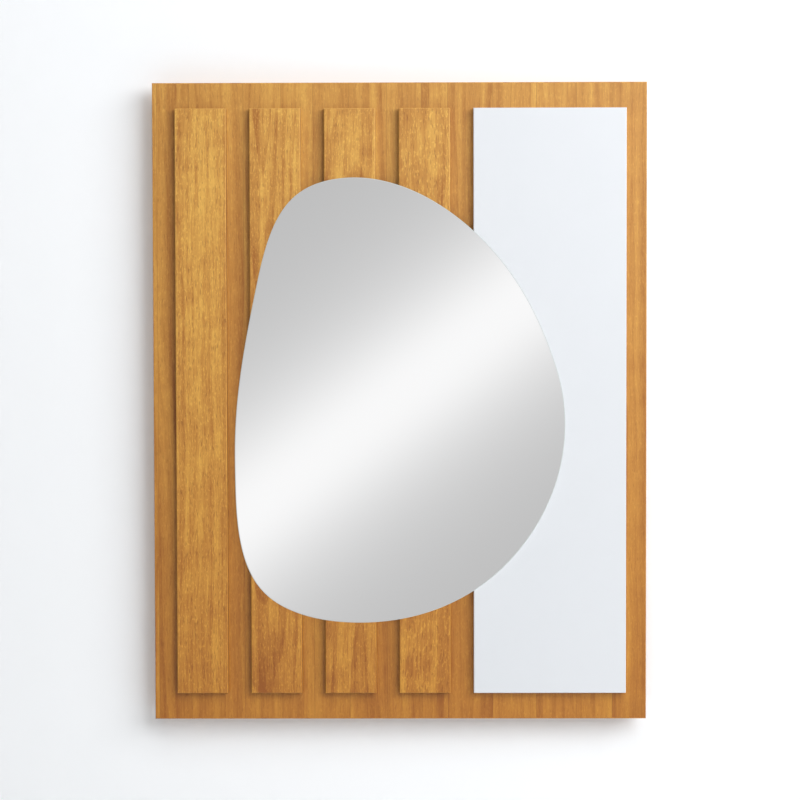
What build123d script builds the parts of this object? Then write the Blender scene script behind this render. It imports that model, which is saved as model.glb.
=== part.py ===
from build123d import *
import os

# A slatted mirror panel for a wall. A banded board stands off the wall on rear battens and carries four slats,
# one wide white panel and a freeform mirror that bridges them. The slats and the panel are glued on,
# the mirror is taped to them, and the battens are screwed. Two keyhole plates hang it on two wall screws.
# X runs to the right, Y into the wall and Z up, in millimetres, and the face looks along -Y.
# The origin lies on the wall plane, midway between the round entries of the two keyholes.

# Board and its edge bands
board_width = 600.0
board_height = 775.0
board_thickness = 15.0
band_thickness = 1.0
band_rounding = 0.8

# Slats and white panel, laid out from the board's left edge
slat_count = 4
slat_width = 62.0
slat_gap = 28.3
face_thickness = 9.0
face_rounding = 1.0
top_margin = 32.0
bottom_margin = 33.0
right_margin = 25.5

# Mirror
mirror_width = 400.0
mirror_height = 540.0
mirror_thickness = 3.0
mirror_arris = 0.8
mirror_rise = 1.5
tape_width = 20.0
tape_thickness = 0.8
tape_inset = 22.0
panel_strip_count = 2
panel_strip_pitch = 48.0

# Rear battens
batten_thickness = 15.0
top_rail_height = 64.0
bottom_rail_height = 50.0
stile_width = 30.0
frame_recess = 20.0
batten_easing = 1.0

# Keyhole plates and the routed pockets behind them
keyhole_spacing = 400.0
entry_radius = 5.25
slot_width = 5.2
slot_travel = 11.0
plate_width = 18.0
plate_height = 56.0
plate_thickness = 2.0
plate_corner = 4.0
plate_easing = 0.3
plate_screw_spacing = 43.0
pocket_width = 14.0
pocket_depth = 9.0

# Soft pads at the lower corners, as thick as the keyhole plates
bumper_radius = 9.0
bumper_easing = 0.5
bumper_inset = 60.0

# Countersunk wood screws, with holes drawn to the crest of the thread that cuts them
screw_radius = 1.75
screw_head_radius = 3.4
batten_screw_length = 25.0
plate_screw_radius = 1.5
plate_screw_head_radius = 2.8
plate_screw_length = 14.0
head_rim = 0.3
head_sink = 0.2
head_seat = 0.05
sink_angle = 90.0
shank_clearance = 0.25
pilot_clearance = 0.05
pilot_spare = 0.8
cross_share = 0.62
cross_width = 0.9
cross_depth = 1.1

# Screws through the battens: along each rail, and one in the middle of each stile
rail_screw_count = 2
rail_screw_edge = 30.0

# Distances of the layers' rear faces from the wall
battens_at = plate_thickness
board_at = battens_at + batten_thickness
face_at = board_at + board_thickness
tape_at = face_at + face_thickness
mirror_at = tape_at + tape_thickness

# Heights, from the keyholes up
plate_z = slot_travel / 2
top_rail_z = plate_z
board_top = top_rail_z + top_rail_height / 2 + frame_recess
board_bottom = board_top - board_height
board_z = (board_top + board_bottom) / 2
top_rail_bottom = top_rail_z - top_rail_height / 2
bottom_rail_z = board_bottom + frame_recess + bottom_rail_height / 2
bottom_rail_top = bottom_rail_z + bottom_rail_height / 2
stile_z = (top_rail_bottom + bottom_rail_top) / 2
face_length = board_height - top_margin - bottom_margin
face_z = board_bottom + bottom_margin + face_length / 2
mirror_z = board_z + mirror_rise

# Places across the width
rail_length = board_width - 2 * frame_recess
stile_length = top_rail_bottom - bottom_rail_top
stile_x = (rail_length - stile_width) / 2
slat_pitch = slat_width + slat_gap
slat_xs = [-board_width / 2 + slat_gap + slat_width / 2 + i * slat_pitch for i in range(slat_count)]
panel_left = -board_width / 2 + slat_gap + slat_count * slat_pitch
panel_right = board_width / 2 - right_margin
panel_width = panel_right - panel_left
panel_x = (panel_left + panel_right) / 2
keyhole_xs = [-keyhole_spacing / 2, keyhole_spacing / 2]


def spread(low, high, count):
    """Evenly spaced places from low to high, both included."""
    return [low + i * (high - low) / (count - 1) for i in range(count)]


def grid(xs, zs):
    """Every pair of a place across the width and a height."""
    return [(x, z) for x in xs for z in zs]


def from_the_rear(points, distance):
    """Drilling places on the plane at a distance from the wall: each hole runs towards the face."""
    planes = [Plane(origin=(x, -distance, z), x_dir=(1, 0, 0), z_dir=(0, 1, 0)) for x, z in points]
    return Locations(*[plane.location for plane in planes])


# Screw places, each used by the screw, its clearance hole and its pilot hole
rail_screw_xs = spread(rail_screw_edge - rail_length / 2, rail_length / 2 - rail_screw_edge, rail_screw_count)
top_rail_points = grid(rail_screw_xs, [top_rail_z])
bottom_rail_points = grid(rail_screw_xs, [bottom_rail_z])
left_stile_points = [(-stile_x, stile_z)]
right_stile_points = [(stile_x, stile_z)]
frame_points = top_rail_points + bottom_rail_points + left_stile_points + right_stile_points
plate_rows = [plate_z - plate_screw_spacing / 2, plate_z + plate_screw_spacing / 2]

# Hole sizes that follow from the screws
clearance_radius = screw_radius + shank_clearance
pilot_radius = screw_radius + pilot_clearance
sink_radius = screw_head_radius + head_rim + head_sink + head_seat
plate_clearance_radius = plate_screw_radius + pilot_clearance
plate_sink_radius = plate_screw_head_radius + head_rim + head_sink + head_seat
frame_pilot_depth = batten_screw_length + head_sink - batten_thickness + pilot_spare
plate_pilot_depth = plate_screw_length + head_sink - plate_thickness + pilot_spare

os.makedirs("parts", exist_ok=True)


# Backing board: the core between the edge bands, with pilot holes for the screws of the battens
with BuildPart() as backing_board:
    with BuildSketch(Plane.XZ.offset(board_at)):
        with Locations((0, board_z)):
            Rectangle(board_width - 2 * band_thickness, board_height - 2 * band_thickness)
    extrude(amount=board_thickness)
    with from_the_rear(frame_points, board_at):
        Hole(radius=pilot_radius, depth=frame_pilot_depth)
backing_board.part.label = "backing_board"
export_step(backing_board.part, "parts/backing_board.step")


# Edge bands: strips round the core's edges, the top and bottom ones over the ends of the side ones,
# with their outer long edges rounded over
band_x = (board_width - band_thickness) / 2
band_z = (board_height - band_thickness) / 2
side_band_length = board_height - 2 * band_thickness
band_forms = [
    ("edge_band_top", (0, board_z + band_z), (board_width, band_thickness), Axis.Z, -1),
    ("edge_band_bottom", (0, board_z - band_z), (board_width, band_thickness), Axis.Z, 0),
    ("edge_band_left", (-band_x, board_z), (band_thickness, side_band_length), Axis.X, 0),
    ("edge_band_right", (band_x, board_z), (band_thickness, side_band_length), Axis.X, -1),
]
for band_name, band_place, band_size, outward, outer in band_forms:
    along = Axis.X if outward == Axis.Z else Axis.Z
    with BuildPart() as edge_band:
        with BuildSketch(Plane.XZ.offset(board_at)):
            with Locations(band_place):
                Rectangle(*band_size)
        extrude(amount=board_thickness)
        outer_face = edge_band.faces().filter_by(outward).sort_by(outward)[outer]
        fillet(outer_face.edges().filter_by(along), radius=band_rounding)
    edge_band.part.label = band_name
    export_step(edge_band.part, f"parts/{band_name}.step")


# Slats: thin boards with eased edges
for number, slat_x in enumerate(slat_xs, start=1):
    with BuildPart() as slat:
        with BuildSketch(Plane.XZ.offset(face_at)):
            with Locations((slat_x, face_z)):
                Rectangle(slat_width, face_length)
        extrude(amount=face_thickness)
        fillet(slat.faces().sort_by(Axis.Y)[0].edges(), radius=face_rounding)
    slat.part.label = f"slat_{number}"
    export_step(slat.part, f"parts/slat_{number}.step")


# White panel: as thick as the slats, so that the mirror lies flat across both
with BuildPart() as white_panel:
    with BuildSketch(Plane.XZ.offset(face_at)):
        with Locations((panel_x, face_z)):
            Rectangle(panel_width, face_length)
    extrude(amount=face_thickness)
    fillet(white_panel.faces().sort_by(Axis.Y)[0].edges(), radius=face_rounding)
white_panel.part.label = "white_panel"
export_step(white_panel.part, "parts/white_panel.step")


# Mirror outline: one smooth closed curve, through points given as shares of the half width and half height,
# anticlockwise from the right. Small corners lie at the top left and the bottom left.
outline_shares = [
    (0.958, 0.123),
    (0.836, 0.363),
    (0.599, 0.644),
    (-0.362, 0.997),
    (-0.586, 0.943),
    (-0.869, 0.506),
    (-1.0, -0.174),
    (-1.0, -0.34),
    (-0.839, -0.852),
    (-0.233, -0.997),
    (0.54, -0.804),
    (0.974, -0.292),
]
outline_points = [(u * mirror_width / 2, mirror_z + v * mirror_height / 2) for u, v in outline_shares]

with BuildPart() as mirror_glass:
    with BuildSketch(Plane.XZ.offset(mirror_at)) as mirror_outline:
        with BuildLine():
            Spline(*outline_points, periodic=True)
        make_face()
    extrude(amount=mirror_thickness)
    chamfer(mirror_glass.faces().sort_by(Axis.Y)[0].edges(), length=mirror_arris)
mirror_glass.part.label = "mirror_glass"
export_step(mirror_glass.part, "parts/mirror_glass.step")


def height_under_mirror(x):
    """The lowest and highest place that the mirror's outline leaves at a place across its width."""
    face = mirror_outline.sketch_local.face()
    chord = face.intersect(Edge.make_line((x, mirror_z - mirror_height), (x, mirror_z + mirror_height)))
    box = chord[0].bounding_box()
    return box.min.Y, box.max.Y


# Mirror tape: upright strips on the slats and the white panel, cut short of the mirror's edge
panel_strip_xs = [panel_left + tape_inset + i * panel_strip_pitch for i in range(panel_strip_count)]
strip_reach = mirror_width / 2 - tape_inset
strip_xs = [x for x in slat_xs + panel_strip_xs if abs(x) < strip_reach]
with BuildPart() as mirror_tape:
    with BuildSketch(Plane.XZ.offset(tape_at)):
        for strip_x in strip_xs:
            left_low, left_high = height_under_mirror(strip_x - tape_width / 2)
            right_low, right_high = height_under_mirror(strip_x + tape_width / 2)
            low = max(left_low, right_low) + tape_inset
            high = min(left_high, right_high) - tape_inset
            with Locations((strip_x, (low + high) / 2)):
                Rectangle(tape_width, high - low)
    extrude(amount=tape_thickness)
mirror_tape.part.label = "mirror_tape"
export_step(mirror_tape.part, "parts/mirror_tape.step")


# Top rail: carries the keyhole plates over pockets for the heads of the wall screws
with BuildPart() as rear_rail_top:
    with BuildSketch(Plane.XZ.offset(battens_at)):
        with Locations((0, top_rail_z)):
            Rectangle(rail_length, top_rail_height)
    extrude(amount=batten_thickness)
    chamfer(rear_rail_top.faces().sort_by(Axis.Y)[-1].edges(), length=batten_easing)
    with BuildSketch(Plane.XZ.offset(battens_at)):
        with Locations(*[(x, slot_travel / 2) for x in keyhole_xs]):
            SlotCenterToCenter(slot_travel, pocket_width, rotation=90)
    extrude(amount=pocket_depth, mode=Mode.SUBTRACT)
    with from_the_rear(top_rail_points, battens_at):
        CounterSinkHole(clearance_radius, counter_sink_radius=sink_radius, counter_sink_angle=sink_angle)
    with from_the_rear(grid(keyhole_xs, plate_rows), battens_at):
        Hole(radius=plate_clearance_radius, depth=plate_pilot_depth)
rear_rail_top.part.label = "rear_rail_top"
export_step(rear_rail_top.part, "parts/rear_rail_top.step")


# Bottom rail and stiles: plain battens, the stiles butted between the two rails
batten_forms = [
    ("rear_rail_bottom", (0, bottom_rail_z), (rail_length, bottom_rail_height), bottom_rail_points),
    ("rear_stile_left", (-stile_x, stile_z), (stile_width, stile_length), left_stile_points),
    ("rear_stile_right", (stile_x, stile_z), (stile_width, stile_length), right_stile_points),
]
for batten_name, batten_place, batten_size, batten_points in batten_forms:
    with BuildPart() as batten:
        with BuildSketch(Plane.XZ.offset(battens_at)):
            with Locations(batten_place):
                Rectangle(*batten_size)
        extrude(amount=batten_thickness)
        chamfer(batten.faces().sort_by(Axis.Y)[-1].edges(), length=batten_easing)
        with from_the_rear(batten_points, battens_at):
            CounterSinkHole(clearance_radius, counter_sink_radius=sink_radius, counter_sink_angle=sink_angle)
    batten.part.label = batten_name
    export_step(batten.part, f"parts/{batten_name}.step")


# Keyhole plates: the round entry takes the head of a wall screw, and the slot above it holds the shank
for side, keyhole_x in zip(("left", "right"), keyhole_xs):
    with BuildPart() as keyhole_plate:
        with BuildSketch(Plane.XZ):
            with Locations((keyhole_x, plate_z)):
                RectangleRounded(plate_width, plate_height, plate_corner)
        extrude(amount=plate_thickness)
        chamfer(keyhole_plate.faces().sort_by(Axis.Y)[-1].edges(), length=plate_easing)
        with BuildSketch(Plane.XZ):
            with Locations((keyhole_x, 0)):
                Circle(entry_radius)
            with Locations((keyhole_x, slot_travel / 2)):
                SlotCenterToCenter(slot_travel, slot_width, rotation=90)
        extrude(amount=plate_thickness, mode=Mode.SUBTRACT)
        with from_the_rear(grid([keyhole_x], plate_rows), 0):
            CounterSinkHole(plate_clearance_radius, plate_sink_radius, counter_sink_angle=sink_angle)
    keyhole_plate.part.label = f"keyhole_plate_{side}"
    export_step(keyhole_plate.part, f"parts/keyhole_plate_{side}.step")


# Wall bumpers: round pads on the bottom rail
bumper_xs = [bumper_inset - rail_length / 2, rail_length / 2 - bumper_inset]
with BuildPart() as wall_bumpers:
    with BuildSketch(Plane.XZ):
        with Locations(*grid(bumper_xs, [bottom_rail_z])):
            Circle(bumper_radius)
    extrude(amount=plate_thickness)
    chamfer(wall_bumpers.faces().group_by(Axis.Y)[-1].edges(), length=bumper_easing)
wall_bumpers.part.label = "wall_bumpers"
export_step(wall_bumpers.part, "parts/wall_bumpers.step")


def countersunk_screw(shank_radius, head_radius, length):
    """A cross-recessed screw with its head on the XY plane and its blunt end down."""
    cone_end = head_rim + head_radius - shank_radius
    with BuildPart() as screw:
        with BuildSketch(Plane.XZ):
            with BuildLine():
                Polyline(
                    (0, 0),
                    (head_radius, 0),
                    (head_radius, -head_rim),
                    (shank_radius, -cone_end),
                    (shank_radius, -length),
                    (0, -length),
                    close=True,
                )
            make_face()
        revolve(axis=Axis.Z)
        with BuildSketch(Plane.XY):
            Rectangle(2 * cross_share * head_radius, cross_width)
            Rectangle(cross_width, 2 * cross_share * head_radius)
        extrude(amount=-cross_depth, mode=Mode.SUBTRACT)
    return screw.part


batten_screw = countersunk_screw(screw_radius, screw_head_radius, batten_screw_length)
plate_screw = countersunk_screw(plate_screw_radius, plate_screw_head_radius, plate_screw_length)

with BuildPart() as frame_screws:
    with from_the_rear(frame_points, battens_at + head_sink):
        add(batten_screw)
frame_screws.part.label = "frame_screws"
export_step(frame_screws.part, "parts/frame_screws.step")

with BuildPart() as keyhole_plate_screws:
    with from_the_rear(grid(keyhole_xs, plate_rows), head_sink):
        add(plate_screw)
keyhole_plate_screws.part.label = "keyhole_plate_screws"
export_step(keyhole_plate_screws.part, "parts/keyhole_plate_screws.step")

print(f"Board {board_width:.0f} x {board_height:.0f} mm, {mirror_at + mirror_thickness:.1f} mm deep in all")
print(f"White panel {panel_width:.1f} mm wide, slats and panel {face_length:.1f} mm long")
print(f"Mirror tape strips at x = {[round(x, 1) for x in strip_xs]}")
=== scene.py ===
# %% [markdown]
# # A slatted mirror panel for a wall
# A thin board with a wood-look film stands off the wall on battens. Four slats, one white panel and a
# freeform mirror lie on it. The CAD model already holds every piece at its real size, so this notebook
# adds the finishes, a smoother sheet of mirror glass, the light and the camera.

import math

import bpy
import numpy as np
from mathutils import Matrix, Vector


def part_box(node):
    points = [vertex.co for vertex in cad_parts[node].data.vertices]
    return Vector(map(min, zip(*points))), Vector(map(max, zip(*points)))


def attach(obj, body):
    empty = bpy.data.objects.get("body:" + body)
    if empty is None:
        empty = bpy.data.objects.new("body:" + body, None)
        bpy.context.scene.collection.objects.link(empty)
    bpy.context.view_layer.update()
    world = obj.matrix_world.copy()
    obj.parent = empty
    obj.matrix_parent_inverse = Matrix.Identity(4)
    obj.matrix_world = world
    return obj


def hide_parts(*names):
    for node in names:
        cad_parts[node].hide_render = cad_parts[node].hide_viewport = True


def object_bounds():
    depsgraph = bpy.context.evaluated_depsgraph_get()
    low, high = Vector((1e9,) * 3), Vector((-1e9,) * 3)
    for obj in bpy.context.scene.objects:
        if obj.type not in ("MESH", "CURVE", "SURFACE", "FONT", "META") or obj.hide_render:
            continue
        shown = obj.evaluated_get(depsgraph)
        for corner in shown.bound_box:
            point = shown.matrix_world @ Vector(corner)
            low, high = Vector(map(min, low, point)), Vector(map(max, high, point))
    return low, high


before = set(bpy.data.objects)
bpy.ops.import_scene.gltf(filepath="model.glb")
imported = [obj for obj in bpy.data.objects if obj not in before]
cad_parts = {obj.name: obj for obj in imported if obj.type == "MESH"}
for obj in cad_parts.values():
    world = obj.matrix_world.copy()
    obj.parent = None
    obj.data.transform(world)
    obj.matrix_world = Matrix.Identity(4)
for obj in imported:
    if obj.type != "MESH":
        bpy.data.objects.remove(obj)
cad_low, cad_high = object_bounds()
print("CAD box in metres:", [round(x, 4) for x in cad_low], [round(x, 4) for x in cad_high])

# %% [markdown]
# ## Small helpers for shader trees
# A material is a tree of nodes, and most of its lines only add a node and wire it. A few short helpers
# keep the materials below readable: one adds a node and fills its inputs, the others do arithmetic with
# numbers and with vectors, and one mixes two colours.

# %% Add a node, do sums, mix colours
def add(tree, kind, feeds=None, **settings):
    """Adds a node with its settings. feeds fills its inputs: a socket is linked and a value is set."""
    made = tree.nodes.new(kind)
    for name, value in settings.items():
        setattr(made, name, value)
    for name, value in (feeds or {}).items():
        if isinstance(value, bpy.types.NodeSocket):
            tree.links.new(value, made.inputs[name])
        else:
            made.inputs[name].default_value = value
    return made


def sums(tree, operation, *terms):
    """One Math node: each term is a socket or a number, in the node's own order."""
    return add(tree, "ShaderNodeMath", dict(enumerate(terms)), operation=operation).outputs[0]


def vector_sums(tree, operation, *terms):
    """One Vector Math node: each term is a socket or three numbers, in the node's own order."""
    return add(tree, "ShaderNodeVectorMath", dict(enumerate(terms)), operation=operation).outputs[0]


def spread(tree, value, by, about):
    """A value spread about a middle: the middle plus the value times the spread."""
    return sums(tree, "MULTIPLY_ADD", value, by, about)


def mixed(tree, share, first, second, blend="MIX"):
    """A colour between first and second, by a share from 0 to 1. The node's sockets for colours are
    numbers 6 and 7, and its colour comes out at number 2."""
    feeds = {0: share, 6: first, 7: second}
    return add(tree, "ShaderNodeMix", feeds, data_type="RGBA", blend_type=blend).outputs[2]


# %% [markdown]
# ## Colours
# A colour that is picked on a screen is not the colour of the surface: it has the display's curve in
# it, and the light that falls on the surface. The helper takes both out, so the palette can be written
# in screen values.

# %% From a screen colour to a surface colour
light_level = 1.2


def surface(red, green, blue):
    """A screen colour in 0..255 as a bare surface: the display's curve is undone, by the usual formula
    of screens, and the result is divided by the light level."""
    screen = np.array((red, green, blue)) / 255
    linear = np.where(screen > 0.04045, ((screen + 0.055) / 1.055) ** 2.4, screen / 12.92)
    return (*(linear / light_level).tolist(), 1.0)


film_light_and_painted_highlight = surface(249, 196, 95)
film_middle = surface(218, 158, 73)
film_dark = surface(178, 112, 42)
film_pore_and_painted_shade = surface(138, 80, 26)
print("Middle tone of the film:", [round(x, 3) for x in film_middle])

# %% [markdown]
# ## Shader groups
# Several finishes share an effect, so each effect is built once as a node group with named inputs. A
# group gives out only values and colours. The shader itself stays in the material, where it can be seen
# and exported.

# %% Start a group
def start_group(name, inputs, outputs):
    """An empty group with named sockets, as (tree, its input node's outputs, its output node)."""
    tree = bpy.data.node_groups.new(name, "ShaderNodeTree")
    for socket_name, kind, value in inputs:
        socket = tree.interface.new_socket(socket_name, in_out="INPUT", socket_type=kind)
        if value is not None:
            socket.default_value = value
    for socket_name, kind in outputs:
        tree.interface.new_socket(socket_name, in_out="OUTPUT", socket_type=kind)
    return tree, tree.nodes.new("NodeGroupInput").outputs, tree.nodes.new("NodeGroupOutput")


def use_group(tree, group, feeds):
    """Places a group in a material, fills its inputs and gives its outputs."""
    return add(tree, "ShaderNodeGroup", feeds, node_tree=group).outputs


FLOAT, COLOR, VECTOR = "NodeSocketFloat", "NodeSocketColor", "NodeSocketVector"

# %% [markdown]
# ## Noise for wood
# Wood is long in one direction, and so is every pattern in it. An ordinary noise becomes wood when it
# has many cells per metre across the grain and few along it. The grain of this object runs upwards, so
# along means Z.

# %% Noise and ramps
def stretched_noise(tree, place, across, along, detail, roughness=0.5):
    """Noise with a number of cells per metre across the grain and another along it."""
    scaled = vector_sums(tree, "MULTIPLY", place, (across, across, along))
    feeds = {"Vector": scaled, "Scale": 1.0, "Detail": detail, "Roughness": roughness}
    return add(tree, "ShaderNodeTexNoise", feeds).outputs[0]


def centred(tree, noise):
    """A noise less one half, so that it lies on both sides of zero."""
    return sums(tree, "SUBTRACT", noise, 0.5)


def ramp(tree, value, low, high):
    """A value's share of the way from low to high, held between 0 and 1."""
    feeds = {"Value": value, "From Min": low, "From Max": high}
    return add(tree, "ShaderNodeMapRange", feeds).outputs[0]


# %% [markdown]
# ## Growth rings
# The arches on a flat board are growth rings, cut at a slant. A striped texture would give straight
# lines only, so the rings are worked out as they grow: by the distance from the pith of the log. The
# pith leans, and where it crosses the board's face the rings close into arches.

# %% The ring figure
wobble_rings = 1.6
late_power = 3.0
end_power = 24.0


def ring_figure(tree, place, spacing, slope):
    """Rings: the distance to a slanted pith, over the spacing, plus a wobble. Each ring darkens slowly,
    by a power of the way through it, and ends sharply, by one less a much higher power."""
    parts = add(tree, "ShaderNodeSeparateXYZ", {"Vector": place}).outputs
    depth = sums(tree, "MULTIPLY_ADD", parts["Z"], slope, parts["Y"])
    across_squared = sums(tree, "MULTIPLY", parts["X"], parts["X"])
    radius = sums(tree, "SQRT", sums(tree, "MULTIPLY_ADD", depth, depth, across_squared))
    wobble = stretched_noise(tree, place, across=26.0, along=4.0, detail=3.0)
    rings = spread(tree, wobble, by=wobble_rings, about=sums(tree, "DIVIDE", radius, spacing))
    phase = sums(tree, "FRACT", rings)
    late = sums(tree, "POWER", phase, late_power)
    ring_end = sums(tree, "SUBTRACT", 1.0, sums(tree, "POWER", phase, end_power))
    return sums(tree, "MULTIPLY", late, ring_end)


# %% [markdown]
# ## Wood grain
# The film is a printed picture of oiled oak. Besides the rings it has broad streaks, narrow streaks,
# fine fibres, soft clouds where the cut runs along the rays of the wood, short dark pores and pale
# flecks. A slow sideways drift bends them all together, as fibres bend in a trunk. Each has a strength
# of its own, so one group serves the calm board and the lively slats.

# %% The grain group
drift_reach = 0.03
film_roughness = 0.38
pore_dullness = 0.12
fibre_dullness = 0.1
fibre_height = 0.5


def make_grain_group():
    """Tone: one half, plus each noise less one half times its strength, less the figure, plus the
    flecks. The colour goes from dark to middle to light with the tone, and the pores lie over it."""
    inputs = [
        ("Vector", VECTOR, None),
        ("Light", COLOR, film_light_and_painted_highlight),
        ("Middle", COLOR, film_middle),
        ("Dark", COLOR, film_dark),
        ("Pore", COLOR, film_pore_and_painted_shade),
        ("Ring Spacing", FLOAT, 0.011),
        ("Ring Slope", FLOAT, 0.06),
        ("Figure", FLOAT, 0.3),
        ("Broad Streaks", FLOAT, 1.1),
        ("Narrow Streaks", FLOAT, 0.75),
        ("Fibres", FLOAT, 0.8),
        ("Clouds", FLOAT, 0.7),
        ("Pores", FLOAT, 0.45),
        ("Flecks", FLOAT, 0.35),
        ("Tone", FLOAT, 0.0),
    ]
    outputs = [("Color", COLOR), ("Roughness", FLOAT), ("Height", FLOAT)]
    tree, given, result = start_group("Wood grain", inputs, outputs)

    drift = stretched_noise(tree, given["Vector"], across=7.0, along=2.2, detail=2.0)
    aside = sums(tree, "MULTIPLY", centred(tree, drift), drift_reach)
    shift = add(tree, "ShaderNodeCombineXYZ", {"X": aside}).outputs[0]
    place = vector_sums(tree, "ADD", given["Vector"], shift)

    broad = stretched_noise(tree, place, across=70.0, along=1.4, detail=2.0)
    narrow = stretched_noise(tree, place, across=260.0, along=9.0, detail=2.0, roughness=0.55)
    fibre = stretched_noise(tree, place, across=700.0, along=45.0, detail=2.0, roughness=0.6)
    cloud = stretched_noise(tree, place, across=45.0, along=38.0, detail=2.0, roughness=0.6)
    pore_noise = stretched_noise(tree, place, across=850.0, along=120.0, detail=1.0)
    pore = ramp(tree, pore_noise, low=0.6, high=0.72)
    fleck_noise = stretched_noise(tree, place, across=620.0, along=240.0, detail=1.0)
    fleck = ramp(tree, fleck_noise, low=0.56, high=0.7)
    figure = ring_figure(tree, place, given["Ring Spacing"], given["Ring Slope"])

    tone = sums(tree, "ADD", 0.5, given["Tone"])
    layers = {"Broad Streaks": broad, "Narrow Streaks": narrow, "Fibres": fibre, "Clouds": cloud}
    for name, noise in layers.items():
        tone = spread(tree, centred(tree, noise), by=given[name], about=tone)
    tone = sums(tree, "SUBTRACT", tone, sums(tree, "MULTIPLY", figure, given["Figure"]))
    tone = spread(tree, fleck, by=given["Flecks"], about=tone)

    color = mixed(tree, ramp(tree, tone, low=0.0, high=0.5), given["Dark"], given["Middle"])
    color = mixed(tree, ramp(tree, tone, low=0.5, high=1.0), color, given["Light"])
    color = mixed(tree, sums(tree, "MULTIPLY", pore, given["Pores"]), color, given["Pore"])
    tree.links.new(color, result.inputs["Color"])

    dull = spread(tree, pore, by=pore_dullness, about=film_roughness)
    dull = spread(tree, fibre, by=fibre_dullness, about=dull)
    tree.links.new(dull, result.inputs["Roughness"])
    height = sums(tree, "SUBTRACT", sums(tree, "MULTIPLY", fibre, fibre_height), pore)
    tree.links.new(height, result.inputs["Height"])
    return tree


grain_group = make_grain_group()
print("Grain group:", len(grain_group.nodes), "nodes")

# %% [markdown]
# ## Staves
# The film on the board shows staves of unequal width, glued side by side. A Voronoi pattern along one
# line gives them: each stave is the stretch nearest to its own random point. The cell's random colour
# gives the stave its tone and moves its grain, and the distance to the cell's edge draws the seam.

# %% The stave group
stave_jump = (0.4, 0.05, 3.0)


def make_stave_group():
    """Stave: the Voronoi cell of x over the mean width. Tone: its chance number less one half. Seam: 1
    at the cell's edge, falling to 0 over the seam's width."""
    inputs = [("Vector", VECTOR, None), ("Width", FLOAT, 0.045), ("Seam", FLOAT, 0.0007)]
    outputs = [("Tone", FLOAT), ("Shifted", VECTOR), ("Seam", FLOAT)]
    tree, given, result = start_group("Staves", inputs, outputs)
    parts = add(tree, "ShaderNodeSeparateXYZ", {"Vector": given["Vector"]}).outputs
    line = {"W": sums(tree, "DIVIDE", parts["X"], given["Width"]), "Scale": 1.0}
    cell = add(tree, "ShaderNodeTexVoronoi", line, voronoi_dimensions="1D").outputs["Color"]
    chance = add(tree, "ShaderNodeSeparateXYZ", {"Vector": cell}).outputs["X"]
    tree.links.new(centred(tree, chance), result.inputs["Tone"])

    jump = vector_sums(tree, "MULTIPLY", cell, stave_jump)
    tree.links.new(vector_sums(tree, "ADD", given["Vector"], jump), result.inputs["Shifted"])

    kind = {"voronoi_dimensions": "1D", "feature": "DISTANCE_TO_EDGE"}
    edge = add(tree, "ShaderNodeTexVoronoi", line, **kind).outputs["Distance"]
    to_edge = sums(tree, "MULTIPLY", edge, given["Width"])
    past_seam = ramp(tree, to_edge, low=0.0, high=given["Seam"])
    tree.links.new(sums(tree, "SUBTRACT", 1.0, past_seam), result.inputs["Seam"])
    return tree


stave_group = make_stave_group()
print("Stave group:", len(stave_group.nodes), "nodes")

# %% [markdown]
# ## Darker towards the bottom
# The film is darker and warmer towards the lower end of the panel. A straight ramp over the height says
# how far each point is darkened, and the film is multiplied by the tint that far.

# %% The group for the darkening towards the bottom
def make_lower_darkening_group():
    """Depth: z times a slope, plus a start, held between 0 and 1."""
    inputs = [("Vector", VECTOR, None), ("Slope", FLOAT, -1.1), ("Start", FLOAT, 0.1)]
    tree, given, result = start_group("Darkening depth", inputs, [("Depth", FLOAT)])
    parts = add(tree, "ShaderNodeSeparateXYZ", {"Vector": given["Vector"]}).outputs
    depth = spread(tree, parts["Z"], by=given["Slope"], about=given["Start"])
    held = add(tree, "ShaderNodeClamp", {"Value": depth}).outputs[0]
    tree.links.new(held, result.inputs["Depth"])
    return tree


lower_darkening_group = make_lower_darkening_group()
# The film is multiplied by this tint as far as the darkening reaches: darker and warmer lower down.
lower_darkening_tint = (0.76, 0.575, 0.28, 1.0)
print("Darkening group:", len(lower_darkening_group.nodes), "nodes")

# %% [markdown]
# ## Mottle
# No paint, rubber or metal is even. One group of three noises, coarse, middle and fine, gives a value
# around zero that varies the tone, the gloss or the height of whatever uses it.

# %% The mottle group
noise_steps = {"Coarse": 1.0, "Middle": 6.0, "Fine": 40.0}


def make_mottle_group():
    """Value: each noise less one half, times its strength, added up. The coarse noise has the given
    cells per metre, and the middle and the fine one have a multiple of them."""
    inputs = [
        ("Vector", VECTOR, None),
        ("Scale", FLOAT, 12.0),
        ("Coarse", FLOAT, 1.0),
        ("Middle", FLOAT, 0.5),
        ("Fine", FLOAT, 0.3),
    ]
    tree, given, result = start_group("Mottle", inputs, [("Value", FLOAT)])
    total = 0.0
    for name, times in noise_steps.items():
        scale = sums(tree, "MULTIPLY", given["Scale"], times)
        feeds = {"Vector": given["Vector"], "Scale": scale, "Detail": 2.0}
        noise = add(tree, "ShaderNodeTexNoise", feeds).outputs[0]
        total = spread(tree, centred(tree, noise), by=given[name], about=total)
    tree.links.new(total, result.inputs["Value"])
    return tree


mottle_group = make_mottle_group()
print("Mottle group:", len(mottle_group.nodes), "nodes")

# %% [markdown]
# ## Painted highlight and shade on the slats' edges
# Round a slat the film is wrapped over the eased edges and glued to the walls. The eased edges get a
# painted highlight, a pale line, and the walls get painted shade, a darker brown. How far the surface
# faces the front tells face, bend and wall apart, so no mask has to be painted.

# %% The group for the painted highlight and shade
wall_facing = 0.05


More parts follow.
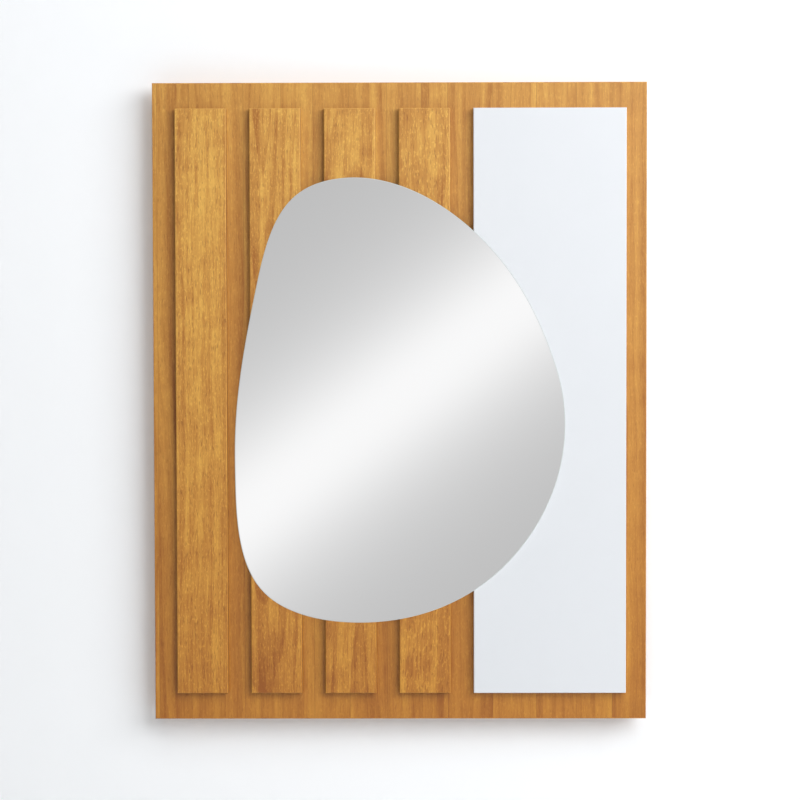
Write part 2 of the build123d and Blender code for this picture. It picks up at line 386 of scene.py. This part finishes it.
def make_edge_light_group():
    """Forward: the normal's part to the front. The first share, a painted highlight: forward is past
    the wall's limit but not yet the face's. The second, Dark, is painted shade: forward is under the
    wall's limit."""
    inputs = [
        ("Normal", VECTOR, None),
        ("Wall", FLOAT, 0.4),
        ("Bend", FLOAT, 0.8),
        ("Face", FLOAT, 0.98),
    ]
    outputs = [("Painted Highlight", FLOAT), ("Dark", FLOAT)]
    tree, given, result = start_group("Painted edge light", inputs, outputs)
    backward = add(tree, "ShaderNodeSeparateXYZ", {"Vector": given["Normal"]}).outputs["Y"]
    forward = sums(tree, "MULTIPLY", backward, -1.0)
    off_wall = ramp(tree, forward, low=wall_facing, high=given["Wall"])
    on_face = ramp(tree, forward, low=given["Bend"], high=given["Face"])
    off_face = sums(tree, "SUBTRACT", 1.0, on_face)
    # Painted highlight on the eased edges, and painted shade on the slats' walls.
    tree.links.new(sums(tree, "MULTIPLY", off_wall, off_face), result.inputs["Painted Highlight"])
    tree.links.new(sums(tree, "SUBTRACT", 1.0, off_wall), result.inputs["Dark"])
    return tree


edge_light_group = make_edge_light_group()
print("Fold group:", len(edge_light_group.nodes), "nodes")

# %% [markdown]
# ## Starting a material
# Every finish starts alike: a Principled BSDF, a place on the piece, and often a colour and a gloss
# that follow one uneven value. The place is the object's own coordinates in metres, so a pattern keeps
# its real size and stays on its piece.

# %% Start a material
def start_material(name):
    """A material with only its output and its Principled BSDF, as (material, tree, shader)."""
    made = bpy.data.materials.new(name)
    made.use_nodes = True
    tree = made.node_tree
    shader = next(n for n in tree.nodes if n.type == "BSDF_PRINCIPLED")
    return made, tree, shader


def object_place(tree, offset=(0.0, 0.0, 0.0)):
    """The object's own coordinates in metres, moved by an offset."""
    place = tree.nodes.new("ShaderNodeTexCoord").outputs["Object"]
    return add(tree, "ShaderNodeMapping", {"Vector": place, "Location": offset}).outputs[0]


def tint_and_gloss(tree, shader, value, dark, light, contrast, roughness, unevenness):
    """Colour: from dark to light, by one half plus the value times the contrast. Roughness: the plain
    roughness plus the value times the unevenness."""
    share = spread(tree, value, by=contrast, about=0.5)
    tree.links.new(mixed(tree, share, dark, light), shader.inputs["Base Color"])
    dull = spread(tree, value, by=unevenness, about=roughness)
    tree.links.new(dull, shader.inputs["Roughness"])


def raise_surface(tree, shader, height, distance):
    """Feeds a height to the shader's normal, as a relief of that many metres for each unit of it."""
    bump = add(tree, "ShaderNodeBump", {"Height": height, "Distance": distance, "Strength": 1.0})
    tree.links.new(bump.outputs[0], shader.inputs["Normal"])


# %% [markdown]
# ## Wood film
# One function makes every film. It lays the grain over the staves, draws the seams, and on the slats
# paints a highlight on the eased edges and shade on the walls. The darkening towards the lower end
# comes last, so that it deepens seams and painted edges as well.

# %% A film material
stave_contrast = 0.14
seam_share = 0.35
# Strengths of the painted highlight on the slats' eased edges and of the painted shade on their walls.
painted_highlight_share = 0.5
painted_shade_share = 0.65
film_relief = 0.00004


def film_material(name, offset, staves=False, painted_edge_light=False, **grain):
    """Wood film: the grain group, over staves if asked, with a painted highlight on the eased edges and
    painted shade on the walls if asked, then multiplied by the tint as far as the darkening towards the
    lower end reaches."""
    made, tree, shader = start_material(name)
    place = object_place(tree, offset)
    feeds = {key.replace("_", " ").title(): value for key, value in grain.items()}
    seam = None
    if staves:
        laid = use_group(tree, stave_group, {"Vector": place})
        place, seam = laid["Shifted"], laid["Seam"]
        feeds["Tone"] = spread(tree, laid["Tone"], by=stave_contrast, about=feeds.get("Tone", 0.0))
    grown = use_group(tree, grain_group, {"Vector": place, **feeds})
    color = grown["Color"]
    if staves:
        color = mixed(tree, sums(tree, "MULTIPLY", seam, seam_share), color, film_pore_and_painted_shade)
    if painted_edge_light:
        normal = tree.nodes.new("ShaderNodeTexCoord").outputs["Normal"]
        edge_light_shares = use_group(tree, edge_light_group, {"Normal": normal})
        # A painted highlight in the film's lightest tone on the eased edges, then painted shade in the
        # pore colour on the walls.
        color = mixed(tree, sums(tree, "MULTIPLY", edge_light_shares["Painted Highlight"], painted_highlight_share), color, film_light_and_painted_highlight)
        color = mixed(tree, sums(tree, "MULTIPLY", edge_light_shares["Dark"], painted_shade_share), color, film_pore_and_painted_shade)
    # Darker and warmer towards the lower end of the panel.
    lower_darkening = use_group(tree, lower_darkening_group, {"Vector": object_place(tree)})
    color = mixed(tree, lower_darkening["Depth"], color, lower_darkening_tint, blend="MULTIPLY")
    tree.links.new(color, shader.inputs["Base Color"])
    tree.links.new(grown["Roughness"], shader.inputs["Roughness"])
    raise_surface(tree, shader, grown["Height"], film_relief)
    return made


# %% [markdown]
# ## The panel's films
# Every slat is cut from another stretch of film. The offset moves the log's pith to one side of the
# slat and along it, so the arches and streaks differ. The board's film is calmer than the slats' and
# shows staves, and only the slats' films get the painted highlight and shade on their edges.

# %% Make the films
board_film = film_material(
    "Board film",
    offset=(0.47, 0.06, 0.3),
    staves=True,
    figure=0.22,
    ring_spacing=0.014,
    broad_streaks=1.0,
    narrow_streaks=0.3,
    fibres=0.5,
    clouds=0.35,
    pores=0.25,
    flecks=0.15,
    tone=-0.03,
)
band_film = film_material("Edge band film", offset=(0.35, 0.2, 0.9), figure=0.1)
slat_grains = [
    {"offset": (0.262, 0.03, 0.55), "figure": 0.16, "ring_spacing": 0.012, "tone": 0.06},
    {"offset": (0.168, 0.015, 0.28), "figure": 0.42, "ring_spacing": 0.01, "tone": 0.06},
    {"offset": (0.052, 0.02, 1.15), "figure": 0.35, "ring_spacing": 0.011, "tone": 0.02},
    {"offset": (-0.09, 0.05, 0.7), "figure": 0.15, "ring_spacing": 0.012, "tone": 0.02},
]
# Each slat's film carries the painted highlight and shade on its edges.
slat_films = [
    film_material(f"Slat {number} film", painted_edge_light=True, **grain)
    for number, grain in enumerate(slat_grains, start=1)
]
print("Films:", ", ".join(film.name for film in (board_film, band_film, *slat_films)))

# %% [markdown]
# ## White lacquer
# The wide panel is sprayed and lightly polished: a cool white with a hint of orange peel, which only
# shows in the reflections. The peel is a very shallow relief in the shader, made by a finer mottle than
# the tone's, so it needs no extra faces.

# %% White lacquer
def make_lacquer():
    """White lacquer: a little mottle in tone and gloss, and a finer mottle as relief."""
    made, tree, shader = start_material("White lacquer")
    place = object_place(tree)
    soft = use_group(tree, mottle_group, {"Vector": place, "Scale": 4.0, "Fine": 0.1})
    tint_and_gloss(
        tree,
        shader,
        soft["Value"],
        dark=surface(238, 242, 247),
        light=surface(243, 246, 251),
        contrast=0.6,
        roughness=0.32,
        unevenness=0.08,
    )
    finer = {"Vector": place, "Scale": 60.0, "Middle": 1.0, "Fine": 0.0}
    peel = use_group(tree, mottle_group, finer)
    raise_surface(tree, shader, peel["Value"], distance=0.00001)
    return made


white_lacquer = make_lacquer()
print("Lacquer:", white_lacquer.name)

# %% [markdown]
# ## Raw fibreboard, foam, rubber
# The battens behind the board are bare fibreboard: a felt of short fibres with darker specks. The tape
# is a pale foam and the pads at the lower corners are soft rubber. Each is a pair of colours with its
# own mottle and relief, so one function makes them all.

# %% Matte materials
def matte(name, dark, light, scale, relief, roughness):
    """A matte surface between two colours, with the same mottle for colour, gloss and relief."""
    made, tree, shader = start_material(name)
    feeds = {"Vector": object_place(tree), "Scale": scale, "Coarse": 0.4, "Middle": 0.7, "Fine": 1.0}
    worn = use_group(tree, mottle_group, feeds)["Value"]
    tint_and_gloss(tree, shader, worn, dark, light, contrast=1.4, roughness=roughness, unevenness=0.2)
    raise_surface(tree, shader, worn, distance=relief)
    return made


fibreboard = matte(
    "Raw fibreboard",
    dark=(0.38, 0.26, 0.15, 1.0),
    light=(0.60, 0.46, 0.30, 1.0),
    scale=25.0,
    relief=0.0001,
    roughness=0.82,
)
foam_tape = matte(
    "Foam tape",
    dark=(0.55, 0.55, 0.53, 1.0),
    light=(0.76, 0.76, 0.73, 1.0),
    scale=60.0,
    relief=0.00008,
    roughness=0.9,
)
pad_rubber = matte(
    "Pad rubber",
    dark=(0.022, 0.022, 0.024, 1.0),
    light=(0.05, 0.05, 0.053, 1.0),
    scale=80.0,
    relief=0.00005,
    roughness=0.72,
)
print("Matte finishes:", ", ".join(m.name for m in (fibreboard, foam_tape, pad_rubber)))

# %% [markdown]
# ## Plated steel
# The hanger plates are rolled and zinc plated, so their scratches run one way, along the strip. The
# screws have the yellow kind of plating, whose thin skin shifts between gold, green and rose. Three
# tints, laid over each other by two mottles, give that shift without any picture.

# %% Plated materials
second_place = (3.1, 1.7, 0.4)


def plated(name, tints, roughness, scratch_cells):
    """Colour: three tints laid over each other by two mottles. Roughness: the plain roughness, plus
    shares of the patches and of the scratches, which are a noise with few cells along Z."""
    made, tree, shader = start_material(name)
    place = object_place(tree)
    elsewhere = object_place(tree, second_place)
    patches = use_group(tree, mottle_group, {"Vector": place, "Scale": 120.0})["Value"]
    skin = use_group(tree, mottle_group, {"Vector": elsewhere, "Scale": 160.0})["Value"]
    color = mixed(tree, spread(tree, patches, by=1.8, about=0.4), tints[0], tints[1])
    color = mixed(tree, spread(tree, skin, by=1.6, about=0.3), color, tints[2])
    tree.links.new(color, shader.inputs["Base Color"])
    shader.inputs["Metallic"].default_value = 1.0
    scratch = stretched_noise(tree, place, across=2600.0, along=scratch_cells, detail=2.0)
    dull = spread(tree, patches, by=0.15, about=roughness)
    dull = spread(tree, scratch, by=0.22, about=dull)
    tree.links.new(dull, shader.inputs["Roughness"])
    raise_surface(tree, shader, scratch, distance=0.00001)
    return made


bright_zinc = plated(
    "Bright zinc",
    tints=((0.55, 0.57, 0.60, 1.0), (0.66, 0.68, 0.71, 1.0), (0.58, 0.62, 0.68, 1.0)),
    roughness=0.22,
    scratch_cells=90.0,
)
yellow_zinc = plated(
    "Yellow zinc",
    tints=((0.74, 0.56, 0.22, 1.0), (0.62, 0.60, 0.27, 1.0), (0.72, 0.46, 0.30, 1.0)),
    roughness=0.16,
    scratch_cells=2600.0,
)
print("Plated finishes:", bright_zinc.name, "and", yellow_zinc.name)

# %% [markdown]
# ## Mirror glass
# A mirror is a sheet of glass with silver and paint behind it. Seen from the front it is a bright
# metal, so the face is made as metal, which is simpler than glass over silver and looks almost the
# same. The arris and the ground edge round it are glass, and the back is grey paint.

# %% Mirror materials
def make_silver():
    """Silver behind glass: a metal with almost no roughness, and a faint haze where it was wiped."""
    made, tree, shader = start_material("Silvered face")
    feeds = {"Vector": object_place(tree), "Scale": 5.0, "Fine": 0.0}
    haze = use_group(tree, mottle_group, feeds)["Value"]
    tint_and_gloss(
        tree,
        shader,
        haze,
        dark=(0.935, 0.935, 0.938, 1.0),
        light=(0.95, 0.95, 0.953, 1.0),
        contrast=0.3,
        roughness=0.012,
        unevenness=0.012,
    )
    shader.inputs["Metallic"].default_value = 1.0
    return made


def make_glass_edge_painted_glow():
    """The ground edge: green-grey glass with a painted glow, which stands in for the light that leaves
    the sheet there.
    """
    made, tree, shader = start_material("Ground glass edge")
    ground = use_group(tree, mottle_group, {"Vector": object_place(tree), "Scale": 300.0})["Value"]
    tint_and_gloss(
        tree,
        shader,
        ground,
        dark=(0.20, 0.23, 0.22, 1.0),
        light=(0.30, 0.33, 0.32, 1.0),
        contrast=0.8,
        roughness=0.3,
        unevenness=0.1,
    )
    # The emission is a painted glow: the edge is no lamp.
    shader.inputs["Emission Color"].default_value = (0.94, 1.0, 0.98, 1.0)
    shader.inputs["Emission Strength"].default_value = 0.32
    raise_surface(tree, shader, ground, distance=0.00001)
    return made


silvered_face = make_silver()
glass_edge_painted_glow = make_glass_edge_painted_glow()
backing_paint = matte(
    "Mirror backing paint",
    dark=(0.16, 0.17, 0.18, 1.0),
    light=(0.24, 0.25, 0.26, 1.0),
    scale=40.0,
    relief=0.00002,
    roughness=0.55,
)
print("Mirror:", ", ".join(m.name for m in (silvered_face, glass_edge_painted_glow, backing_paint)))

# %% [markdown]
# ## The mirror's outline
# The CAD mesh has flat facets round a freeform curve, which a mirror's bright rim would show. The rim
# is better as one smooth formula: the distance from the middle is a sum of waves round the circle. The
# weights of the waves come from the corners of the CAD sheet, by least squares, so the new sheet has
# the place and size of the old.

# %% Fit the outline
wave_count = 24
plane_slack = 1e-5
glass_low, glass_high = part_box("mirror_glass")
corners = np.array([v.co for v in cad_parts["mirror_glass"].data.vertices])
on_back = corners[:, 1] > glass_high.y - plane_slack
rim = np.unique(np.round(corners[on_back][:, [0, 2]], decimals=6), axis=0)
middle = (rim.min(axis=0) + rim.max(axis=0)) / 2
rim_angle = np.arctan2(rim[:, 1] - middle[1], rim[:, 0] - middle[0])
rim_reach = np.hypot(rim[:, 0] - middle[0], rim[:, 1] - middle[1])


def waves(angle):
    """The row of waves at each angle: one, then the cosine and sine of each whole multiple of it."""
    turns = np.arange(1, wave_count + 1) * angle[:, None]
    return np.hstack([np.ones((len(angle), 1)), np.cos(turns), np.sin(turns)])


wave_weights = np.linalg.lstsq(waves(rim_angle), rim_reach, rcond=None)[0]
miss = np.abs(waves(rim_angle) @ wave_weights - rim_reach).max()
print(f"Outline: {len(rim)} CAD corners, {wave_count} waves, widest miss {miss * 1000:.3f} mm")

# %% [markdown]
# ## A sheet from its profile
# A sheet with a shaped rim is one profile carried round its outline. The profile starts at the middle
# of the face, runs out to the rim, down the arris and the edge, and back to the middle behind. Each
# ring of points is the outline, drawn in by its inset and scaled by its share, so one short table says
# the whole form.

# %% Outline points and the sheet
around = 720
sharp_angle = math.radians(20)
angles = np.linspace(0, 2 * math.pi, around, endpoint=False)
reach = waves(angles) @ wave_weights
outline = middle + reach[:, None] * np.stack([np.cos(angles), np.sin(angles)], axis=1)
along = np.roll(outline, -1, axis=0) - np.roll(outline, 1, axis=0)
outward = np.stack([along[:, 1], -along[:, 0]], axis=1) / np.linalg.norm(along, axis=1, keepdims=True)
print(f"Outline points: {around}, from {reach.min():.3f} to {reach.max():.3f} m off the middle")


def sheet_mesh(name, profile, zones):
    """A closed sheet. Ring k: the outline less inset k times its normal, taken from the middle by share
    k, at depth k. Each row of the profile is (share, inset, depth), the ends of the profile close to
    the two poles, and zones gives the material of each band between two rings."""
    share, inset, depth = (np.array(column)[:, None, None] for column in zip(*profile))
    rings = middle + share * (outline - inset * outward - middle)
    heights = np.broadcast_to(depth, rings.shape[:2] + (1,))
    points = np.concatenate([rings[..., :1], heights, rings[..., 1:]], axis=2).reshape(-1, 3)
    poles = [(middle[0], profile[0][2], middle[1]), (middle[0], profile[-1][2], middle[1])]
    front_pole, back_pole = len(points), len(points) + 1
    here = np.arange(around)
    beyond = (here + 1) % around
    faces, marks = [], []
    for band in range(len(profile) - 1):
        near, far = band * around, (band + 1) * around
        faces += np.stack([near + here, far + here, far + beyond, near + beyond], axis=1).tolist()
        marks += [zones[band]] * around
    last = (len(profile) - 1) * around
    faces += np.stack([np.full(around, front_pole), here, beyond], axis=1).tolist()
    faces += np.stack([np.full(around, back_pole), last + beyond, last + here], axis=1).tolist()
    marks += [zones[0]] * around + [zones[-1]] * around
    mesh = bpy.data.meshes.new(name)
    mesh.from_pydata(points.tolist() + poles, [], faces)
    mesh.polygons.foreach_set("material_index", np.array(marks, np.int32))
    mesh.polygons.foreach_set("use_smooth", np.ones(len(marks), bool))
    mesh.update()
    mesh.set_sharp_from_angle(angle=sharp_angle)
    return mesh


# %% [markdown]
# ## The mirror sheet
# The sheet takes the place of the faceted CAD sheet and rides on the same body. In the photograph the
# mirror throws no shadow on the slats and the white panel, so this one throws none either.

# %% Build the mirror
arris = 0.0008
halfway = 0.5
front, back = glass_low.y, glass_high.y
face_zone, edge_zone, back_zone = 0, 1, 2
mirror_profile = [
    (halfway, arris, front),
    (1.0, arris, front),
    (1.0, 0.0, front + arris),
    (1.0, 0.0, back),
    (halfway, 0.0, back),
]
mirror_zones = [face_zone, edge_zone, edge_zone, back_zone]
mirror_mesh = sheet_mesh("mirror_sheet", mirror_profile, mirror_zones)
for finish in (silvered_face, glass_edge_painted_glow, backing_paint):
    mirror_mesh.materials.append(finish)
mirror = bpy.data.objects.new("mirror_sheet", mirror_mesh)
mirror.visible_shadow = False
bpy.context.scene.collection.objects.link(mirror)
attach(mirror, "root")
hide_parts("mirror_glass")
print("Mirror sheet:", len(mirror_mesh.polygons), "faces")

# %% [markdown]
# ## Dress the CAD pieces
# Every other piece keeps its CAD mesh and only gets its finish. Pieces of one kind share a finish, but
# each slat has its own stretch of film, or the eye would see the same picture four times.

# %% Give each piece its finish
sides = ("left", "right")
battens = ("rail_top", "rail_bottom", "stile_left", "stile_right")
finishes = {
    "backing_board": board_film,
    "white_panel": white_lacquer,
    "mirror_tape": foam_tape,
    "wall_bumpers": pad_rubber,
    "frame_screws": yellow_zinc,
    "keyhole_plate_screws": yellow_zinc,
}
finishes.update({f"edge_band_{side}": band_film for side in ("top", "bottom", *sides)})
finishes.update({f"slat_{number}": film for number, film in enumerate(slat_films, start=1)})
finishes.update({f"rear_{batten}": fibreboard for batten in battens})
finishes.update({f"keyhole_plate_{side}": bright_zinc for side in sides})

for name, finish in finishes.items():
    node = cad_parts[name]
    node.data.materials.clear()
    node.data.materials.append(finish)
print("Dressed CAD pieces:", len(finishes), "of", len(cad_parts) - 1)

# %% [markdown]
# ## Wall and floor
# The panel hangs on a wall, so the stage is a white wall just behind it and a pale floor half a metre
# below it. Both are painted on one side only: from behind, and for shadows, a Mix Shader before the
# output makes them clear, so a camera behind the wall sees the battens.

# %% One-sided stage surfaces
def clear_where(tree, surface_shader, mask):
    """Wires a shader to the material's output, and makes it clear by the mask, from 0 to 1."""
    clear = tree.nodes.new("ShaderNodeBsdfTransparent")
    both = add(tree, "ShaderNodeMixShader", {0: mask})
    tree.links.new(surface_shader.outputs[0], both.inputs[1])
    tree.links.new(clear.outputs[0], both.inputs[2])
    output = next(n for n in tree.nodes if n.type == "OUTPUT_MATERIAL")
    tree.links.new(both.outputs[0], output.inputs["Surface"])


def stage_material(name, color, glow):
    """Matte paint with a little glow on the front, and nothing at all from behind."""
    made, tree, shader = start_material(name)
    shader.inputs["Base Color"].default_value = color
    shader.inputs["Roughness"].default_value = 1.0
    shader.inputs["Specular IOR Level"].default_value = 0.0
    shader.inputs["Emission Color"].default_value = (1.0, 1.0, 1.0, 1.0)
    shader.inputs["Emission Strength"].default_value = glow
    behind = tree.nodes.new("ShaderNodeNewGeometry").outputs["Backfacing"]
    shadow = tree.nodes.new("ShaderNodeLightPath").outputs["Is Shadow Ray"]
    clear_where(tree, shader, sums(tree, "MAXIMUM", behind, shadow))
    return made


def stage_plane(name, corner, side, other, material):
    """A rectangle: a corner, plus each side, plus both. Its front is where side turns to other,
    anticlockwise."""
    corner, side, other = (np.array(v, float) for v in (corner, side, other))
    points = np.stack([corner, corner + side, corner + side + other, corner + other])
    mesh = bpy.data.meshes.new(name)
    mesh.from_pydata(points.tolist(), [], [(0, 1, 2, 3)])
    mesh.materials.append(material)
    made = bpy.data.objects.new(name, mesh)
    bpy.context.scene.collection.objects.link(made)
    return made


# %% [markdown]
# ## Place the stage
# The wall stands a hair behind the panel, so that the two never share a plane. It is a bright, cool
# white, and the floor is greyer, because light from a white floor would fill the shadow that the panel
# throws down the wall.

# %% Wall and floor
wall_gap = 0.0003
wall_half = 3.0
wall_top = 2.4
floor_height = -1.25
floor_half = 4.0
wall_paint = stage_material("Stage wall", (0.945, 0.965, 0.99, 1.0), glow=0.015)
floor_paint = stage_material("Stage floor", (0.72, 0.72, 0.71, 1.0), glow=0.0)
stage_plane(
    "stage_wall",
    corner=(-wall_half, cad_high.y + wall_gap, floor_height),
    side=(2 * wall_half, 0, 0),
    other=(0, 0, wall_top - floor_height),
    material=wall_paint,
)
stage_plane(
    "stage_floor",
    corner=(-floor_half, -floor_half, floor_height),
    side=(2 * floor_half, 0, 0),
    other=(0, 2 * floor_half, 0),
    material=floor_paint,
)
print(f"Stage: wall {2 * wall_half:.0f} m wide, floor at {floor_height} m")

# %% [markdown]
# ## Camera
# The view is almost square on, a little from above. The camera stands 2.33 m in front of the wall with
# a long lens, and its three small turns come from the four corners of the board in the photograph.

# %% Place the camera
image_size = 800
focal_pixels = 1889.0
sensor_width = 36.0
camera_place = Vector((0.0153, -2.3305, -0.2569))
camera_yaw = math.radians(-0.377)
camera_tilt = math.radians(-1.758)
camera_roll = math.radians(-0.117)

camera_data = bpy.data.cameras.new("camera")
camera_data.sensor_width = sensor_width
camera_data.lens = focal_pixels * sensor_width / image_size
camera = bpy.data.objects.new("camera", camera_data)
turn = Matrix.Rotation(-camera_yaw, 4, "Z") @ Matrix.Rotation(math.pi / 2 + camera_tilt, 4, "X")
camera.matrix_world = Matrix.Translation(camera_place) @ turn @ Matrix.Rotation(camera_roll, 4, "Z")
bpy.context.scene.collection.objects.link(camera)
bpy.context.scene.camera = camera
print(f"Lens {camera_data.lens:.1f} mm on a {sensor_width:.0f} mm sensor")

# %% [markdown]
# ## Light
# One large soft box, the key, stands to the right and above. Its width sets how soft the shadow on the
# wall is, and its place sets where the shadow falls: to the left and below. A weaker one high in front
# lights the wall and the panel from above, and one behind the wall shows the battens to a camera that
# looks from there.

# %% Soft boxes
panel_middle = (cad_low + cad_high) / 2
light_distance = 3.1


def soft_box(name, azimuth, elevation, width, height, watts):
    """A rectangular light that faces the panel's middle from the light distance. Its azimuth counts in
    degrees to the right of straight ahead, and its elevation in degrees up."""
    turned, raised = math.radians(azimuth), math.radians(elevation)
    flat = light_distance * math.cos(raised)
    rise = light_distance * math.sin(raised)
    away = Vector((flat * math.sin(turned), -flat * math.cos(turned), rise))
    data = bpy.data.lights.new(name, "AREA")
    data.shape = "RECTANGLE"
    data.size = width
    data.size_y = height
    data.energy = watts
    made = bpy.data.objects.new(name, data)
    facing = (-away).to_track_quat("-Z", "Y").to_matrix().to_4x4()
    made.matrix_world = Matrix.Translation(panel_middle + away) @ facing
    bpy.context.scene.collection.objects.link(made)
    print(f"Light {name}: {width} by {height} m, {watts:.0f} W")


soft_box("key", azimuth=44, elevation=22, width=2.8, height=1.8, watts=81.0)
soft_box("top", azimuth=5, elevation=50, width=1.8, height=1.8, watts=25.0)
soft_box("rear", azimuth=-150, elevation=21, width=1.6, height=1.2, watts=30.0)

# %% [markdown]
# ## Surroundings
# Soft light from all sides fills the shadows a little. A camera that looks past the wall sees the
# surroundings lighter than they shine, so the views from the side and from behind have a pale ground.

# %% Fill and backdrop
fill_level = 0.25
backdrop_level = 0.86
world = bpy.data.worlds.new("surroundings")
world.use_nodes = True
bpy.context.scene.world = world
sky = next(n for n in world.node_tree.nodes if n.type == "BACKGROUND")
seen = world.node_tree.nodes.new("ShaderNodeLightPath").outputs["Is Camera Ray"]
levels = {"Value": seen, "To Min": fill_level, "To Max": backdrop_level}
level = add(world.node_tree, "ShaderNodeMapRange", levels).outputs[0]
world.node_tree.links.new(level, sky.inputs["Strength"])
sky.inputs["Color"].default_value = (1.0, 1.0, 1.0, 1.0)
print(f"Surroundings: {fill_level} as light, {backdrop_level} as seen by a camera")

# %% [markdown]
# ## The card that the mirror sees
# A mirror shows what stands in front of it. Photographers hang a graded card behind the camera, and
# here it is a plane with a bright band that runs up to the right. A gradient painted on the glass would
# be simpler, but it would not move as a reflection does. The camera and the shadows pass through it.

# %% The graded card
card_shade = 0.51
band_glow = 0.49
bell_power = 2.3


def card_material(band_normal, band_middle, band_width):
    """A card that glows by its shade plus the band's glow over the bell. Bell: one plus the distance
    from the band's middle line, over its width, to a power."""
    made, tree, shader = start_material("Graded card")
    tree.nodes.remove(shader)
    place = tree.nodes.new("ShaderNodeTexCoord").outputs["Object"]
    product = {0: place, 1: band_normal}
    measured = add(tree, "ShaderNodeVectorMath", product, operation="DOT_PRODUCT").outputs["Value"]
    distance = sums(tree, "ABSOLUTE", sums(tree, "SUBTRACT", measured, band_middle))
    widths = sums(tree, "DIVIDE", distance, band_width)
    bell = sums(tree, "ADD", sums(tree, "POWER", widths, bell_power), 1.0)
    level = sums(tree, "ADD", sums(tree, "DIVIDE", band_glow, bell), card_shade)
    glow = add(tree, "ShaderNodeEmission", {"Strength": level})
    shadow = tree.nodes.new("ShaderNodeLightPath").outputs["Is Shadow Ray"]
    clear_where(tree, glow, shadow)
    return made


# %% [markdown]
# ## Where the band lies
# The band is known as a slanted line in the picture, but the card needs it in metres. So three points
# of the card are followed through the mirror into the picture, which gives the pixels per metre in both
# directions, and the line is turned back by them.

# %% Place the card
card_distance = -2.75
card_half = 0.75
band_slant = math.radians(52)
band_pixels = 558.0
bell_pixels = 80.0
# The card's image in the mirror lies as far behind the face as the card stands in front of it.
image_depth = 2 * glass_low.y - card_distance
to_camera = camera.matrix_world.inverted()


def card_pixel(x, z):
    """Where a card point shows by way of the mirror, in pixels right and down: the middle of the
    picture plus the point's place beside the lens axis, over its distance, times the focal length."""
    seen_at = to_camera @ Vector((x, image_depth, z))
    scale = focal_pixels / -seen_at.z
    return image_size / 2 + seen_at.x * scale, image_size / 2 - seen_at.y * scale


def across_band(x, z):
    """The pixel of a card point, measured across the band."""
    right, down = card_pixel(x, z)
    return right * math.cos(band_slant) + down * math.sin(band_slant)


pixels_at_middle = across_band(0, 0)
pixels_per_x = across_band(1, 0) - pixels_at_middle
pixels_per_z = across_band(0, 1) - pixels_at_middle
pixels_per_metre = math.hypot(pixels_per_x, pixels_per_z)
band_normal = (pixels_per_x / pixels_per_metre, 0.0, pixels_per_z / pixels_per_metre)
band_middle = (band_pixels - pixels_at_middle) / pixels_per_metre
band_width = bell_pixels / pixels_per_metre
card = stage_plane(
    "stage_card",
    corner=(card_half, card_distance, panel_middle.z - card_half),
    side=(-2 * card_half, 0, 0),
    other=(0, 0, 2 * card_half),
    material=card_material(band_normal, band_middle, band_width),
)
card.visible_camera = False
card.visible_diffuse = False
print(f"Card band: {band_middle:.3f} m from its middle line, {band_width:.3f} m wide")

# %% [markdown]
# ## Picture settings
# The standard view keeps white paint white.

# %% Finish
bpy.context.scene.view_settings.view_transform = "Standard"
